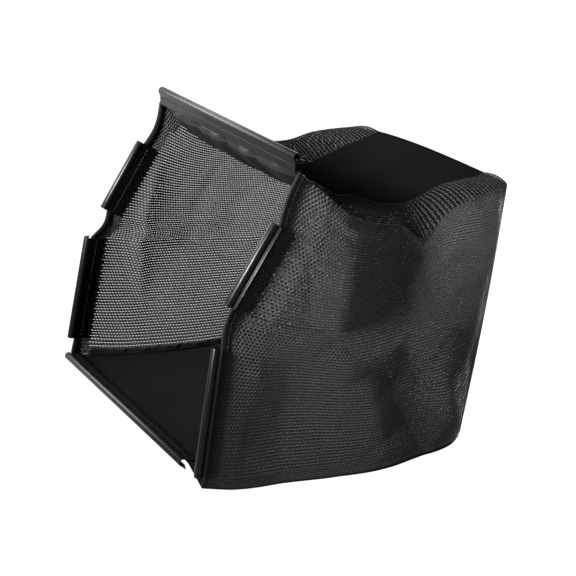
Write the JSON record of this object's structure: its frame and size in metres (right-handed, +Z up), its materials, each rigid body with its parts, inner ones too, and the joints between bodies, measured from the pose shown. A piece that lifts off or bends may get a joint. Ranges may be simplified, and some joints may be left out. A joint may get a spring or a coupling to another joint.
{
  "type": "grass catcher bag",
  "caption": "Soft box-shaped collecting bag for a lawn mower: net sides and back, closed cloth top and floor, open front edged with springy hook strips.",
  "frame": {"origin": "middle of the floor panel's underside, on the surface that the bag stands on", "axes": "+Z up, mouth towards -Y, +X to the right as one looks into the mouth"},
  "size_m": [0.4291, 0.3943, 0.3364],
  "materials": {
    "net": "black open net, matte with a faint sheen",
    "top_cloth": "black closed weave, matte",
    "floor_cloth": "black coated cloth, smooth and half matte",
    "tape": "black woven tape",
    "thread": "dark grey sewing thread",
    "clip": "dark grey extruded plastic, half gloss"
  },
  "bodies": {
    "root": {"right_side_panel": "net", "left_side_panel": "net", "back_panel": "net", "top_panel": "top_cloth", "bottom_panel": "floor_cloth", "right_edge_binding": "tape", "left_edge_binding": "tape", "top_clip": "clip", "bottom_clip": "clip", "lower_right_clip": "clip", "upper_right_clip": "clip", "lower_left_clip": "clip", "upper_left_clip": "clip", "top_clip_sewing": "thread", "bottom_clip_sewing": "thread", "lower_right_clip_sewing": "thread", "upper_right_clip_sewing": "thread", "lower_left_clip_sewing": "thread", "upper_left_clip_sewing": "thread"}
  },
  "joints": []
}
